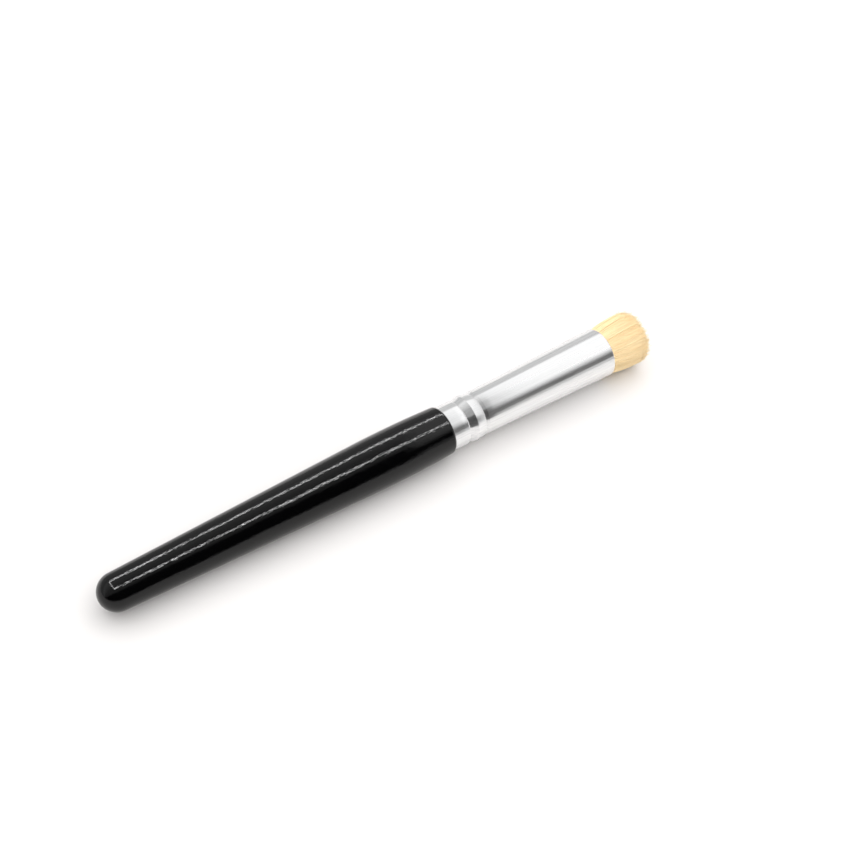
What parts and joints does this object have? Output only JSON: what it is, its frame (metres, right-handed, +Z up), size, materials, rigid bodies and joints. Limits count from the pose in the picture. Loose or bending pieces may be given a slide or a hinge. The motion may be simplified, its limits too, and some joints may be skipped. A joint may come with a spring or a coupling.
{
  "type": "round stencil brush",
  "caption": "Short round stencil brush: black lacquered handle, crimped aluminium ferrule and a dense domed tuft of cream bristles that flexes at the ferrule's mouth.",
  "frame": {"origin": "under the middle of the brush's length, on the surface that it lies on", "axes": "+X along the brush from the butt of the handle to the tip of the tuft, +Z up from the surface it lies on, +Y to its left"},
  "size_m": [0.1492, 0.0138, 0.0138],
  "materials": {
    "black_lacquer": "gloss",
    "polished_aluminium": "polished",
    "cream_bristle": "satin",
    "bound_bristle": "satin",
    "waxed_thread": "matte",
    "cast_resin": "gloss",
    "clear_glue": "gloss"
  },
  "bodies": {
    "brush": {"handle": "black_lacquer", "ferrule": "polished_aluminium", "tenon_adhesive": "clear_glue", "resin_plug": "cast_resin", "binding_thread": "waxed_thread", "bristle_root": "bound_bristle"},
    "tuft": {"bristle_tuft": "cream_bristle"}
  },
  "joints": [
    {"name": "tuft_flex", "type": "hinge", "parent": "brush", "child": "tuft", "pos_m": [0.063, 0, 0.0069], "axis": [0, 0, 1], "range_deg": [-20, 20], "stiffness_Nm_per_rad": 0.12, "deforming": ["bristle_tuft"]}
  ]
}
